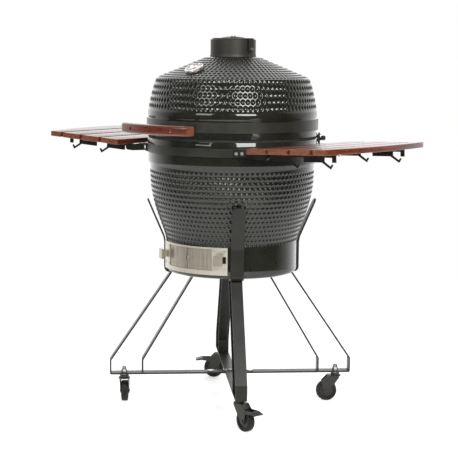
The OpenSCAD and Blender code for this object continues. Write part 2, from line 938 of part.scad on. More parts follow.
// Outer and inner leg strips of one corner
module leg(a) {
    color(BLACK_STEEL)
        rotate([0, 0, a])
            for (ends = [[outer_top_r, knee_r], [inner_top_r, inner_knee_r]])
                xz_plate(concat(
                             strip([[ends[0], leg_top_z], [ends[1], knee_z],
                                    [ends[1], bar_top + touch]], -strip_t)
                         ), -leg_w / 2, leg_w / 2);
}
module leg_front_right() { leg(FRONT_RIGHT); }
module leg_rear_right() { leg(REAR_RIGHT); }
module leg_rear_left() { leg(REAR_LEFT); }
module leg_front_left() { leg(FRONT_LEFT); }

bar_lap = leg_w + 1;

// Flat bar from one caster to the opposite one, half-lapped in the middle
module foot_bar(a, cut_top) {
    color(BLACK_STEEL)
        rotate([0, 0, a])
            difference() {
                xz_plate(concat(
                             arc([knee_r - strip_t, bar_top], strip_t, -90, 0, 4),
                             arc([strip_t - knee_r, bar_top], strip_t, 180, 270, 4)
                         ), -leg_w / 2, leg_w / 2);
                translate([-bar_lap / 2, -bar_lap / 2, cut_top ? bar_z - 0.05 : bar_z - strip_t])
                    cube([bar_lap, bar_lap, strip_t]);
                for (r = [-stem_r, stem_r])
                    translate([r, 0, bar_z - strip_t])
                        cylinder(r = stud_r, h = 2 * strip_t);
            }
}
module foot_bar_a() { foot_bar(REAR_RIGHT, false); }
module foot_bar_b() { foot_bar(FRONT_RIGHT, true); }

// ---- casters ----

stud_r = 5;
housing_z1 = bar_z - 7;
housing_z0 = housing_z1 - 11;
stud_head_z = housing_z0 - 3;
nut_h = 9;
cap_nut_h = 20;
bar_bottom = bar_z - strip_t / 2;
axle_r = 4;
fork_in = wheel_w / 2 + 1.5;
fork_t = 2.5;
pedal_pin = [40, 62];
pedal_pin_r = 3;

// Threaded studs with their cap nuts
module caster_studs() {
    color(BRIGHT_STEEL)
        for (a = [FRONT_RIGHT, REAR_RIGHT, REAR_LEFT, FRONT_LEFT])
            rotate([0, 0, a])
                translate([stem_r, 0, 0]) {
                    translate([0, 0, stud_head_z])
                        cylinder(r = stud_r, h = bar_top + cap_nut_h - 5 - stud_head_z);
                    translate([0, 0, stud_head_z])
                        cylinder(r = 8, h = housing_z0 - 0.3 - stud_head_z);
                    translate([0, 0, housing_z1 + 0.3])
                        cylinder(r = 9, h = bar_bottom - touch - housing_z1 - 0.3);
                    translate([0, 0, bar_top + touch])
                        cylinder(r = 9.5, h = nut_h, $fn = 6);
                    translate([0, 0, bar_top + nut_h - 1])
                        cylinder(r1 = 7.8, r2 = 5.8, h = cap_nut_h - nut_h + 1);
                }
}

// Puts its children under a stem, with X towards the wheel
module on_caster(a, swivel) {
    rotate([0, 0, a])
        translate([stem_r, 0, 0])
            rotate([0, 0, swivel - a])
                children();
}

// Swivel housing with two cheeks and the axle
module caster_fork(a, swivel, braked) {
    color(BRIGHT_STEEL)
        on_caster(a, swivel) {
            difference() {
                union() {
                    translate([0, 0, housing_z0])
                        cylinder(r = 19, h = 4);
                    translate([0, 0, housing_z0])
                        cylinder(r = 14, h = housing_z1 - housing_z0);
                    for (v = [-1, 1]) {
                        y0 = v > 0 ? fork_in : -fork_in - fork_t;
                        xz_plate([[-13, housing_z0 + 4], [-13, housing_z0 - 4],
                                  [trail - 9, wheel_r - 2], [trail + 9, wheel_r - 2],
                                  [trail + 17, 64], [trail - 4, housing_z0 + 4]],
                                 y0, y0 + fork_t);
                        translate([trail, y0 + fork_t, wheel_r])
                            rotate([90, 0, 0])
                                cylinder(r = 9.2, h = fork_t);
                    }
                    translate([-13, -fork_in - fork_t, housing_z0])
                        cube([trail + 9, 2 * (fork_in + fork_t), 4]);
                }
                translate([0, 0, housing_z0 - 5])
                    cylinder(r = stud_r + run_gap, h = 40);
            }
            translate([trail, fork_in + fork_t + 2, wheel_r])
                rotate([90, 0, 0])
                    cylinder(r = axle_r, h = 2 * (fork_in + fork_t + 2));
            if (braked)
                for (y1 = [-fork_in - fork_t + 0.5, fork_in + fork_t + 3])
                    translate([pedal_pin[0], y1, pedal_pin[1]])
                        rotate([90, 0, 0])
                            cylinder(r = pedal_pin_r, h = 3.5);
        }
}
module fork_front_right() { caster_fork(FRONT_RIGHT, SWIVEL_FRONT_RIGHT, true); }
module fork_rear_right() { caster_fork(REAR_RIGHT, SWIVEL_REAR_RIGHT, false); }
module fork_rear_left() { caster_fork(REAR_LEFT, SWIVEL_REAR_LEFT, true); }
module fork_front_left() { caster_fork(FRONT_LEFT, SWIVEL_FRONT_LEFT, false); }

// Wheel with rounded tread, dished sides and a hub
module caster_wheel(a, swivel) {
    half = wheel_w / 2;
    color(RUBBER)
        on_caster(a, swivel)
            translate([trail, 0, wheel_r])
                rotate([90, 0, 0])
                    rotate_extrude()
                        polygon(concat(
                            [[axle_r + run_gap, -half - 1], [10, -half - 1], [11, -half + 4],
                             [22, -half + 4], [24, -half]],
                            arc([wheel_r - 4, -half + 4], 4, -90, 0, 4),
                            arc([wheel_r - 4, half - 4], 4, 0, 90, 4),
                            [[24, half], [22, half - 4], [11, half - 4], [10, half + 1],
                             [axle_r + run_gap, half + 1]]
                        ));
}
module wheel_front_right() { caster_wheel(FRONT_RIGHT, SWIVEL_FRONT_RIGHT); }
module wheel_rear_right() { caster_wheel(REAR_RIGHT, SWIVEL_REAR_RIGHT); }
module wheel_rear_left() { caster_wheel(REAR_LEFT, SWIVEL_REAR_LEFT); }
module wheel_front_left() { caster_wheel(FRONT_LEFT, SWIVEL_FRONT_LEFT); }

// Brake pedal: two cheeks on the fork's pins and a tread plate behind the wheel
module brake_pedal(a, swivel) {
    cheek = fork_in + fork_t + 0.3;
    color(BRIGHT_STEEL)
        on_caster(a, swivel)
            for (v = [-1, 1]) {
                y0 = v > 0 ? cheek : -cheek - 2;
                difference() {
                    union() {
                        xz_plate([[36, 58], [44, 58], [70, 62], [90, 60], [91, 63], [72, 69],
                                  [42, 69], [36, 66]],
                                 y0, y0 + 2);
                    }
                    translate([pedal_pin[0], y0 + 3, pedal_pin[1]])
                        rotate([90, 0, 0])
                            cylinder(r = pedal_pin_r + run_gap, h = 4);
                }
                xz_plate([[67, 65.5], [72, 66.5], [90, 60.5], [91, 63], [73, 69], [67, 68]],
                         v > 0 ? 0 : -cheek, v > 0 ? cheek : 0);
            }
}
module pedal_front_right() { brake_pedal(FRONT_RIGHT, SWIVEL_FRONT_RIGHT); }
module pedal_rear_left() { brake_pedal(REAR_LEFT, SWIVEL_REAR_LEFT); }

base_shell();
base_gasket();
lower_band();
firebox();
fire_ring();
charcoal_grate();
cooking_grate();
vent_frame();
vent_screws();
vent_door_left();
vent_door_right();
lid_shell();
lid_gasket();
lid_band();
handle();
handle_brackets();
handle_screws();
hinge_bracket_upper();
hinge_bracket_lower();
hinge_pin();
hinge_springs();
chimney_cap();
damper_disc();
damper_bolts();
thermometer_case();
thermometer_dial();
thermometer_needle();
shelf_mounts();
bolts();
shelf_right_slat_1();
shelf_right_slat_2();
shelf_right_slat_3();
shelf_right_slat_4();
shelf_right_arms();
shelf_right_screws();
shelf_left_slat_1();
shelf_left_slat_2();
shelf_left_slat_3();
shelf_left_slat_4();
shelf_left_arms();
shelf_left_screws();
cradle_strap_a();
cradle_strap_b();
leg_front_right();
leg_rear_right();
leg_rear_left();
leg_front_left();
foot_bar_a();
foot_bar_b();
caster_studs();
fork_front_right();
fork_rear_right();
fork_rear_left();
fork_front_left();
wheel_front_right();
wheel_rear_right();
wheel_rear_left();
wheel_front_left();
pedal_front_right();
pedal_rear_left();
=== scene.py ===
"""Looks of the kamado grill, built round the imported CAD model. Metres, +Z up, front towards -Y."""

import json
import math

import bmesh
import bpy
import numpy as np
from mathutils import Matrix, Vector


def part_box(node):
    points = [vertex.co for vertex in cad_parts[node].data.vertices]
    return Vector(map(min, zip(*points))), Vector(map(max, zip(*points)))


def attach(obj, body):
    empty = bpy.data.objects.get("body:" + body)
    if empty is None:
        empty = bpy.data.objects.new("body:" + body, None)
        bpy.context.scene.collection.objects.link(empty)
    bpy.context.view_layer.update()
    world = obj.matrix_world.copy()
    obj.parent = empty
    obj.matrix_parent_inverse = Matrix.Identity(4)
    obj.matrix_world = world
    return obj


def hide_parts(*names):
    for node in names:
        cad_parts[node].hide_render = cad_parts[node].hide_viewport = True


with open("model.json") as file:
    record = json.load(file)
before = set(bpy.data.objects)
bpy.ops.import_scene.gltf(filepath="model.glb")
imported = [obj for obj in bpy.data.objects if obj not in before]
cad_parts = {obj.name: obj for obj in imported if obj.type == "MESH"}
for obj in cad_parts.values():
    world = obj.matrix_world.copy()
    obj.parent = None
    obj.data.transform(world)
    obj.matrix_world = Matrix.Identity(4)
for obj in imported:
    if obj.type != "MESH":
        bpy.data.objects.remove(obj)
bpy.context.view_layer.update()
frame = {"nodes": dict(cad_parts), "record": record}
JOINTS = {j["name"]: j for j in frame["record"]["behaviour"]["joints"]}

FRONT = math.radians(-90)
MM = 0.001

# Places of the Mix node's sockets, which share their names between data types.
MIX_FACTOR, MIX_FLOAT_A, MIX_FLOAT_B, MIX_COLOUR_A, MIX_COLOUR_B = 0, 2, 3, 6, 7
MIX_FLOAT_RESULT, MIX_COLOUR_RESULT = 0, 2


# ---------------------------------------------------------------- materials


def node_material(name, rough, metallic=0.0, **sockets):
    """A Principled material and a helper that adds nodes to it."""
    mat = bpy.data.materials.new(name)
    mat.use_nodes = True
    shader = mat.node_tree.nodes["Principled BSDF"]
    shader.inputs["Roughness"].default_value = rough
    shader.inputs["Metallic"].default_value = metallic
    for socket, value in sockets.items():
        shader.inputs[socket.replace("_", " ")].default_value = value
    return mat, Builder(mat.node_tree, shader)


class Builder:
    """Short calls for the few node types that the materials use."""

    def __init__(self, tree, shader):
        self.tree, self.shader = tree, shader

    def add(self, kind, **values):
        node = self.tree.nodes.new(kind)
        for key, value in values.items():
            if key in node.inputs:
                node.inputs[key].default_value = value
            else:
                setattr(node, key, value)
        return node

    def link(self, a, b):
        self.tree.links.new(a, b)

    def coords(self, scale=(1, 1, 1), uv=False):
        source = self.add("ShaderNodeTexCoord")
        mapping = self.add("ShaderNodeMapping")
        mapping.inputs["Scale"].default_value = scale
        self.link(source.outputs["UV" if uv else "Object"], mapping.inputs["Vector"])
        return mapping.outputs["Vector"]

    def noise(self, vector, scale, detail=4.0, rough=0.55, distortion=0.0):
        node = self.add("ShaderNodeTexNoise", Scale=scale, Detail=detail, Roughness=rough)
        node.inputs["Distortion"].default_value = distortion
        self.link(vector, node.inputs["Vector"])
        return node.outputs["Fac"]

    def ramp(self, factor, *stops):
        node = self.add("ShaderNodeValToRGB")
        bar = node.color_ramp
        while len(bar.elements) < len(stops):
            bar.elements.new(0.5)
        for element, (place, colour) in zip(bar.elements, stops):
            element.position = place
            element.color = (*colour, 1.0)
        self.link(factor, node.inputs["Fac"])
        return node.outputs["Color"]

    def span(self, factor, low, high):
        """Spreads a factor of 0 to 1 over low to high."""
        node = self.add("ShaderNodeMapRange")
        node.inputs["To Min"].default_value = low
        node.inputs["To Max"].default_value = high
        self.link(factor, node.inputs["Value"])
        return node.outputs["Result"]

    def mix(self, factor, a, b):
        node = self.add("ShaderNodeMix", data_type="RGBA")
        self.link(factor, node.inputs["Factor"])
        for value, place in ((a, MIX_COLOUR_A), (b, MIX_COLOUR_B)):
            if isinstance(value, tuple):
                node.inputs[place].default_value = (*value, 1.0)
            else:
                self.link(value, node.inputs[place])
        return node.outputs[MIX_COLOUR_RESULT]

    def bump(self, *layers):
        """layers are (height, strength, distance in metres)."""
        normal = None
        for height, strength, distance in layers:
            node = self.add("ShaderNodeBump", Strength=strength, Distance=distance)
            self.link(height, node.inputs["Height"])
            if normal is not None:
                self.link(normal, node.inputs["Normal"])
            normal = node.outputs["Normal"]
        self.link(normal, self.shader.inputs["Normal"])

    def colour(self, value):
        self.link(value, self.shader.inputs["Base Color"])

    def roughness(self, value):
        self.link(value, self.shader.inputs["Roughness"])


def glaze_material():
    mat, b = node_material("glaze", 0.3, Coat_Weight=1.0, Coat_Roughness=0.05, Specular_IOR_Level=0.05)
    where = b.coords()
    cloud = b.noise(where, 9.0, 5.0)
    speck = b.noise(where, 420.0, 2.0)
    base = b.ramp(cloud, (0.35, (0.008, 0.009, 0.006)), (0.65, (0.015, 0.016, 0.011)))
    dots = b.ramp(speck, (0.62, (0, 0, 0)), (0.74, (1, 1, 1)))
    b.colour(b.mix(dots, base, (0.035, 0.035, 0.030)))
    b.roughness(b.span(cloud, 0.24, 0.36))
    sag = b.noise(where, 38.0, 2.0)
    b.bump((sag, 0.35, 0.0022), (b.noise(where, 160.0, 3.0), 0.22, 0.0008), (speck, 0.10, 0.0004))
    return mat


def raw_ceramic_material():
    mat, b = node_material("refractory", 0.9)
    where = b.coords()
    sand = b.noise(where, 300.0, 6.0, 0.7)
    soot = b.noise(where, 7.0, 4.0)
    clay = b.ramp(sand, (0.3, (0.30, 0.225, 0.16)), (0.7, (0.47, 0.37, 0.27)))
    dark = b.ramp(soot, (0.45, (0, 0, 0)), (0.75, (1, 1, 1)))
    b.colour(b.mix(dark, clay, (0.09, 0.075, 0.06)))
    b.bump((sand, 0.5, 0.0008))
    return mat


def coated_steel_material(name, low, high, rough):
    """Satin powder coat with a fine orange peel and slightly rubbed patches."""
    mat, b = node_material(
        name, rough, metallic=0.1, Specular_IOR_Level=0.35, Coat_Weight=0.05, Coat_Roughness=0.3
    )
    where = b.coords()
    cloud = b.noise(where, 14.0, 5.0)
    peel = b.noise(where, 750.0, 2.0)
    b.colour(b.ramp(cloud, (0.35, low), (0.68, high)))
    b.roughness(b.span(cloud, rough - 0.07, rough + 0.10))
    b.bump((peel, 0.25, 0.0003), (b.noise(where, 60.0), 0.06, 0.001))
    return mat


def cast_material(name, low, high, rough, depth):
    mat, b = node_material(name, rough, metallic=0.35)
    where = b.coords()
    grit = b.noise(where, 380.0, 5.0, 0.65)
    cloud = b.noise(where, 16.0, 4.0)
    b.colour(b.mix(cloud, b.ramp(grit, (0.3, low), (0.7, high)), low))
    b.roughness(b.span(grit, rough - 0.08, rough + 0.12))
    b.bump((grit, 0.45, depth))
    return mat


def brushed_material(name, low, high, rough, grain, metallic=1.0):
    """Brushed metal. grain is the scale of the streaks along X, Y and Z."""
    mat, b = node_material(name, rough, metallic=metallic)
    streak = b.noise(b.coords(grain), 30.0, 4.0, 0.7)
    cloud = b.noise(b.coords(), 12.0, 4.0)
    b.colour(b.mix(cloud, b.ramp(streak, (0.3, low), (0.7, high)), high))
    b.roughness(b.span(streak, rough - 0.09, rough + 0.11))
    b.bump((streak, 0.08, 0.0003))
    return mat


def wood_material(name, low, mid, high, grain, rough, uv=False):
    """Varnished wood: long pores, wavy growth bands and a few darker streaks."""
    mat, b = node_material(name, rough, Coat_Weight=0.45, Coat_Roughness=0.14)
    along = b.coords(grain, uv)
    bands = b.noise(along, 4.5, 6.0, 0.6, 0.8)
    pores = b.noise(b.coords(tuple(g * 6 for g in grain), uv), 8.0, 3.0, 0.7)
    body = b.ramp(bands, (0.30, low), (0.50, mid), (0.72, high))
    pits = b.ramp(pores, (0.34, (1, 1, 1)), (0.46, (0, 0, 0)))
    b.colour(b.mix(pits, body, tuple(c * 0.45 for c in low)))
    b.roughness(b.span(bands, rough - 0.05, rough + 0.10))
    b.bump((pores, 0.20, 0.0004), (bands, 0.10, 0.0006))
    return mat


def end_grain_material():
    mat, b = node_material("end_grain", 0.5, Coat_Weight=0.2, Coat_Roughness=0.3)
    where = b.coords()
    pores = b.noise(where, 900.0, 3.0, 0.7)
    rings = b.noise(b.coords((1, 1, 3)), 60.0, 4.0, 0.6, 0.6)
    tone = b.ramp(rings, (0.3, (0.10, 0.023, 0.006)), (0.7, (0.27, 0.075, 0.020)))
    b.colour(b.mix(b.ramp(pores, (0.36, (1, 1, 1)), (0.5, (0, 0, 0))), tone, (0.07, 0.016, 0.007)))
    b.bump((pores, 0.3, 0.0004))
    return mat


def rubber_material():
    mat, b = node_material("wheel_rubber", 0.6, Specular_IOR_Level=0.2)
    where = b.coords()
    dust = b.noise(where, 40.0, 5.0, 0.6)
    b.colour(b.ramp(dust, (0.4, (0.012, 0.012, 0.011)), (0.75, (0.034, 0.033, 0.028))))
    b.roughness(b.span(dust, 0.5, 0.75))
    b.bump((b.noise(where, 500.0, 3.0), 0.25, 0.0004))
    return mat


def felt_material():
    mat, b = node_material("felt", 0.95)
    fibre = b.noise(b.coords(), 1400.0, 3.0, 0.8)
    b.colour(b.ramp(fibre, (0.3, (0.010, 0.010, 0.010)), (0.7, (0.035, 0.034, 0.033))))
    b.bump((fibre, 0.8, 0.0008))
    return mat


def paint_material(name, low, high, rough):
    mat, b = node_material(name, rough, Coat_Weight=0.3, Coat_Roughness=0.2)
    where = b.coords()
    b.colour(b.ramp(b.noise(where, 60.0, 4.0), (0.3, low), (0.7, high)))
    b.bump((b.noise(where, 900.0, 2.0), 0.15, 0.0002))
    return mat


GLAZE = glaze_material()
REFRACTORY = raw_ceramic_material()
BLACK_STEEL = coated_steel_material("black_steel", (0.007, 0.007, 0.005), (0.015, 0.014, 0.010), 0.36)
BAND_STEEL = coated_steel_material("band_steel", (0.020, 0.020, 0.016), (0.034, 0.033, 0.027), 0.34)
CAP_METAL = cast_material("cap_metal", (0.030, 0.027, 0.022), (0.052, 0.047, 0.039), 0.5, 0.0004)
CAST_IRON = cast_material("cast_iron", (0.020, 0.019, 0.018), (0.045, 0.043, 0.041), 0.6, 0.0009)
STAINLESS = brushed_material("stainless", (0.50, 0.46, 0.38), (0.66, 0.62, 0.53), 0.36, (14, 14, 1), 0.7)
# The draft doors are the frame's stainless, darkened and given broad upright light and dark streaks: painted
# shade and painted reflection streaks.
DOOR_STEEL_PAINTED_REFLECTION = brushed_material("door_steel_painted_reflection", (0.13, 0.115, 0.085), (0.48, 0.44, 0.36), 0.30, (5, 5, 0.2), 0.7)
GRATE_STEEL = brushed_material("grate_steel", (0.45, 0.45, 0.44), (0.62, 0.62, 0.60), 0.30, (40, 2, 40))
ZINC = brushed_material("zinc_steel", (0.42, 0.42, 0.40), (0.62, 0.62, 0.59), 0.30, (20, 20, 6))
FORK_STEEL = brushed_material("fork_steel", (0.028, 0.028, 0.025), (0.068, 0.067, 0.061), 0.36, (20, 20, 6))
HUB = coated_steel_material("wheel_hub", (0.016, 0.015, 0.013), (0.036, 0.034, 0.030), 0.5)
BEZEL = brushed_material("bezel_steel", (0.74, 0.74, 0.72), (0.90, 0.89, 0.87), 0.30, (30, 30, 30))
SHELF_WOOD = wood_material(
    "shelf_wood", (0.055, 0.010, 0.005), (0.125, 0.023, 0.009), (0.21, 0.045, 0.017), (9, 0.7, 9), 0.30
)
HANDLE_WOOD = wood_material(
    "handle_wood", (0.062, 0.012, 0.006), (0.120, 0.024, 0.010), (0.19, 0.044, 0.017),
    (0.7, 9, 9), 0.26, uv=True,
)
END_GRAIN = end_grain_material()
RUBBER = rubber_material()
FELT = felt_material()
DIAL = paint_material("dial_face", (0.74, 0.71, 0.67), (0.84, 0.81, 0.77), 0.35)
INK = paint_material("dial_ink", (0.015, 0.015, 0.015), (0.03, 0.03, 0.03), 0.5)
POINTER = paint_material("pointer_paint", (0.20, 0.035, 0.025), (0.28, 0.05, 0.035), 0.4)
ENGRAVING = coated_steel_material("engraving", (0.10, 0.09, 0.075), (0.16, 0.145, 0.12), 0.5)


# ---------------------------------------------------------------- mesh helpers


SHARP_ANGLE = math.radians(35)
EDGE_ANGLE = math.radians(50)
EDGE_SEGMENTS = 2


def add_piece(name, mesh, body, replaces=(), matrix=None):
    """Adds a visible piece that rides a body, and says which CAD nodes it replaces."""
    mesh.shade_smooth()
    mesh.set_sharp_from_angle(angle=SHARP_ANGLE)
    obj = bpy.data.objects.new(name, mesh)
    bpy.context.scene.collection.objects.link(obj)
    if matrix is not None:
        obj.matrix_world = matrix
    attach(obj, body)
    if replaces:
        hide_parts(*replaces)
    return obj


def paint(material, *nodes):
    """Gives CAD nodes their material."""
    for name in nodes:
        mesh = frame["nodes"][name].data
        mesh.materials.clear()
        mesh.materials.append(material)


def soften(width, *nodes):
    """Small rounded edges on CAD nodes made of flat steel."""
    for name in nodes:
        bevel = frame["nodes"][name].modifiers.new("edge", "BEVEL")
        bevel.width = width
        bevel.segments = EDGE_SEGMENTS
        bevel.limit_method = "ANGLE"
        bevel.angle_limit = EDGE_ANGLE


def cubic(a, b, c, d, n):
    """n + 1 points of a cubic curve from a to d."""
    t = np.linspace(0, 1, n + 1)[:, None]
    s = 1 - t
    a, b, c, d = (np.array(p, float) for p in (a, b, c, d))
    return a * s**3 + 3 * b * s * s * t + 3 * c * s * t * t + d * t**3


# ---------------------------------------------------------------- dimpled ceramic

DIMPLES_ROUND = 104
STEPS = 8
ROUND = DIMPLES_ROUND * STEPS
BARREL_ROWS = 5
CONE_ROWS = 10
BELLY_ROWS = 15
DIMPLE_DEPTH = 3.0 * MM
# Half sizes of a dimple as parts of the pitch between dimples.
DIMPLE_HALF_WIDTH = 0.45
DIMPLE_HALF_HEIGHT = 0.42
CONE_PITCH = 14.6 * MM
WELD_DISTANCE = 1e-7
TURN = np.arange(ROUND) * 2 * math.pi / ROUND


def plain(*points):
    """A stretch of outline with no dimples."""
    return np.array(points, float).reshape(-1, 2) * MM, None


def dimpled(points, rows, pitch=None):
    """A stretch of outline with rows of dimples: its rings, and each ring's row and dimple counts.

    A pitch keeps the dimples the same width, so rows nearer the axis hold fewer of them.
    """
    points = np.array(points, float) * MM
    lengths = np.concatenate([[0], np.cumsum(np.linalg.norm(np.diff(points, axis=0), axis=1))])
    wanted = np.linspace(0, lengths[-1], rows * STEPS + 1)
    rings = np.stack([np.interp(wanted, lengths, points[:, k]) for k in (0, 1)], axis=1)
    middles = rings[STEPS // 2 :: STEPS, 0]
    counts = [round(2 * math.pi * r / pitch) if pitch else DIMPLES_ROUND for r in middles]
    return rings, (np.linspace(0, rows, rows * STEPS + 1), counts)


def dimple_depth(place, counts):
    """Depth all round a ring. Each row is turned half a dimple from the one below."""
    depth = np.zeros(ROUND)
    nearest = range(max(0, math.floor(place) - 1), min(len(counts), math.floor(place) + 2))
    for row in nearest:
        across = (np.arange(ROUND) * counts[row] / ROUND + 0.5 * (row % 2) + 0.5) % 1.0 - 0.5
        far = (across / DIMPLE_HALF_WIDTH) ** 2 + ((place - row - 0.5) / DIMPLE_HALF_HEIGHT) ** 2
        depth = np.maximum(depth, np.clip(1 - far, 0, 1))
    return depth * DIMPLE_DEPTH


def shell_rings(parts):
    """Every vertex of a turned shell as an array of rings, with its dimples sunk in."""
    rings = np.concatenate([points for points, pattern in parts])
    tangent = np.gradient(rings, axis=0)
    outward = np.stack([tangent[:, 1], -tangent[:, 0]], axis=1)
    outward /= np.maximum(np.linalg.norm(outward, axis=1, keepdims=True), 1e-9)
    sunk = np.zeros((len(rings), ROUND))
    first = 0
    for points, pattern in parts:
        if pattern:
            places, counts = pattern
            for i, place in enumerate(places):
                sunk[first + i] = dimple_depth(place, counts)
        first += len(points)
    r = rings[:, :1] - sunk * outward[:, :1]
    z = rings[:, 1:] - sunk * outward[:, 1:]
    return np.stack([r * np.cos(TURN), r * np.sin(TURN), z + 0 * TURN], axis=2)


def shell_faces(ring_count, left_out=()):
    """Quads between neighbouring rings. left_out holds the (ring, column) pairs to leave open."""
    left_out = set(left_out)
    return [
        (i * ROUND + j, i * ROUND + (j + 1) % ROUND, (i + 1) * ROUND + (j + 1) % ROUND, (i + 1) * ROUND + j)
        for i in range(ring_count - 1)
        for j in range(ROUND)
        if (i, j) not in left_out
    ]


def welded(mesh):
    """Joins vertices that lie on one point, such as a ring of no radius."""
    work = bmesh.new()
    work.from_mesh(mesh)
    bmesh.ops.remove_doubles(work, verts=work.verts, dist=WELD_DISTANCE)
    work.to_mesh(mesh)
    work.free()
    return mesh


def shell_mesh(name, rings, faces, material):
    mesh = bpy.data.meshes.new(name)
    mesh.from_pydata(rings.reshape(-1, 3).tolist(), [], faces)
    mesh.materials.append(material)
    return welded(mesh)


# The ceramic outlines below are (radius, height) in millimetres.
RIM_R = 270
LID_WALL = 22
BASE_WALL = 26
FOOT_R = 210
FOOT_EDGE = 12


def lid_piece():
    """Lid: lip, plain band, dimpled barrel and cone, flue rim, and a plain inside."""
    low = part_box("lid_shell")[0].z / MM
    barrel = cubic((267, 956), (262, 990), (251, 1034), (241, 1052), 24)
    inner = cubic((219, 1041), (229, 1023), (237, 991), (240, 961), 10)
    parts = [
        plain((RIM_R - LID_WALL, low), (266, low), (268.6, low + 0.6)),
        plain((RIM_R, low + 2), (RIM_R, 926), (270.6, 930)),
        plain((272, 934), (272, 944), (271.4, 949), (269.6, 953)),
        dimpled(barrel, BARREL_ROWS),
        dimpled([(239.6, 1053), (88, 1115.4)], CONE_ROWS, CONE_PITCH),
        plain((84, 1117.4), (80, 1118), (62, 1118), (60, 1117)),
        plain((60, 1097.8), (80, 1091.8)),
        plain(*inner),
        plain((RIM_R - LID_WALL, 930), (RIM_R - LID_WALL, low + 1)),
    ]
    rings = shell_rings(parts)
    count = len(rings)
    faces = shell_faces(count)
    faces += [
        ((count - 1) * ROUND + j, (count - 1) * ROUND + (j + 1) % ROUND, (j + 1) % ROUND, j)
        for j in range(ROUND)
    ]
    mesh = shell_mesh("ceramic_lid", rings, faces, GLAZE)
    add_piece("ceramic_lid", mesh, "lid", ["lid_shell"])


WINDOW_LOW = 470
WINDOW_HIGH = 528.7
WINDOW_HALF_WIDTH = 78


def base_piece():
    """Base: foot with the draft opening, dimpled belly, smooth rim, and a plain inside."""
    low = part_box("base_shell")[0].z / MM
    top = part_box("base_shell")[1].z / MM
    foot_edge = [
        (FOOT_R - FOOT_EDGE + FOOT_EDGE * math.sin(a), low + FOOT_EDGE - FOOT_EDGE * math.cos(a))
        for a in np.linspace(0, math.pi / 2, 7)
    ]
    belly = cubic((FOOT_R, 537), (212, 567), (262, 655), (261, 742), 60)
    side = np.concatenate([belly, [(262.8, 766)]])
    inner = [(r - BASE_WALL, z) for r, z in belly[::-6] if z > WINDOW_HIGH + 4]
    parts = [
        plain((0, low), *foot_edge, (FOOT_R, WINDOW_LOW)),
        plain((FOOT_R, WINDOW_HIGH), (FOOT_R, 533)),
        dimpled(side, BELLY_ROWS),
        plain((263.6, 772), (264.4, 778), (266, 783), (268.6, 787), (RIM_R, 792)),
        plain(
            (RIM_R, top - 2), (269.4, top - 0.6), (268, top), (246, top),
            (RIM_R - BASE_WALL, top - 1.5), (RIM_R - BASE_WALL, 800),
        ),
        plain(*inner, (FOOT_R - BASE_WALL, WINDOW_HIGH)),
        plain((FOOT_R - BASE_WALL, WINDOW_LOW), (0, WINDOW_LOW)),
    ]
    starts = np.cumsum([0] + [len(points) for points, pattern in parts])
    rings = shell_rings(parts)
    outer_low, inner_high = starts[1] - 1, starts[6] - 1
    half = round(math.asin(WINDOW_HALF_WIDTH / FOOT_R) / (2 * math.pi) * ROUND)
    middle = round(FRONT % (2 * math.pi) / (2 * math.pi) * ROUND)
    columns = range(middle - half, middle + half)
    left_out = [(i, j) for i in (outer_low, inner_high) for j in columns]
    faces = shell_faces(len(rings), left_out)

    # The opening's sill, head and two sides join the outer wall's rings to the inner wall's.
    out_low, out_high, in_high, in_low = (
        ring * ROUND for ring in (outer_low, outer_low + 1, inner_high, inner_high + 1)
    )
    for j in columns:
        faces.append((out_low + j, out_low + j + 1, in_low + j + 1, in_low + j))
        faces.append((out_high + j + 1, out_high + j, in_high + j, in_high + j + 1))
    for j, turned in ((middle - half, False), (middle + half, True)):
        side_face = (out_low + j, in_low + j, in_high + j, out_high + j)
        faces.append(side_face[::-1] if turned else side_face)
    mesh = shell_mesh("ceramic_base", rings, faces, GLAZE)
    add_piece("ceramic_base", mesh, "base", ["base_shell"])


# ---------------------------------------------------------------- wood

SLAT_INNER = -15 * MM
SLAT_WIDTH = 73 * MM
SLAT_PITCH = 84 * MM
SLAT_LENGTH = 480 * MM
SLAT_LOW = 12 * MM
SLAT_HIGH = 28.5 * MM
SLAT_EDGE = 1.8 * MM
OUTER_WIDTH = 43 * MM
BOW = 30 * MM
BODY_CUT_R = 288 * MM
FOLD_X = 292 * MM
TILT = math.radians(2.8)
BOARD_CORNER = math.radians(30)
END_FACING = 0.95


def slab(name, outline, low, high, edge, materials, is_end):
    """A flat board with rounded edges. is_end(normal) says which faces take the second material."""
    work = bmesh.new()
    bottom = work.faces.new([work.verts.new((x, y, low)) for x, y in outline])
    lifted = bmesh.ops.extrude_face_region(work, geom=[bottom])["geom"]
    for vert in (v for v in lifted if isinstance(v, bmesh.types.BMVert)):
        vert.co.z = high
    bmesh.ops.recalc_face_normals(work, faces=work.faces)
    sharp = [e for e in work.edges if e.calc_face_angle(0) > BOARD_CORNER]
    bmesh.ops.bevel(work, geom=sharp, offset=edge, segments=3, profile=0.5, affect="EDGES")
    work.normal_update()
    for face in work.faces:
        face.material_index = 1 if is_end(face.normal) else 0
    mesh = bpy.data.meshes.new(name)
    work.to_mesh(mesh)
    work.free()
    for material in materials:
        mesh.materials.append(material)
    return mesh


def arc_points(centre, radius, y0, y1, n):
    """n points of a circle's +X side from y0 to y1. The centre lies on the X axis."""
    return [(centre + math.sqrt(radius**2 - y**2), y) for y in np.linspace(y0, y1, n)]


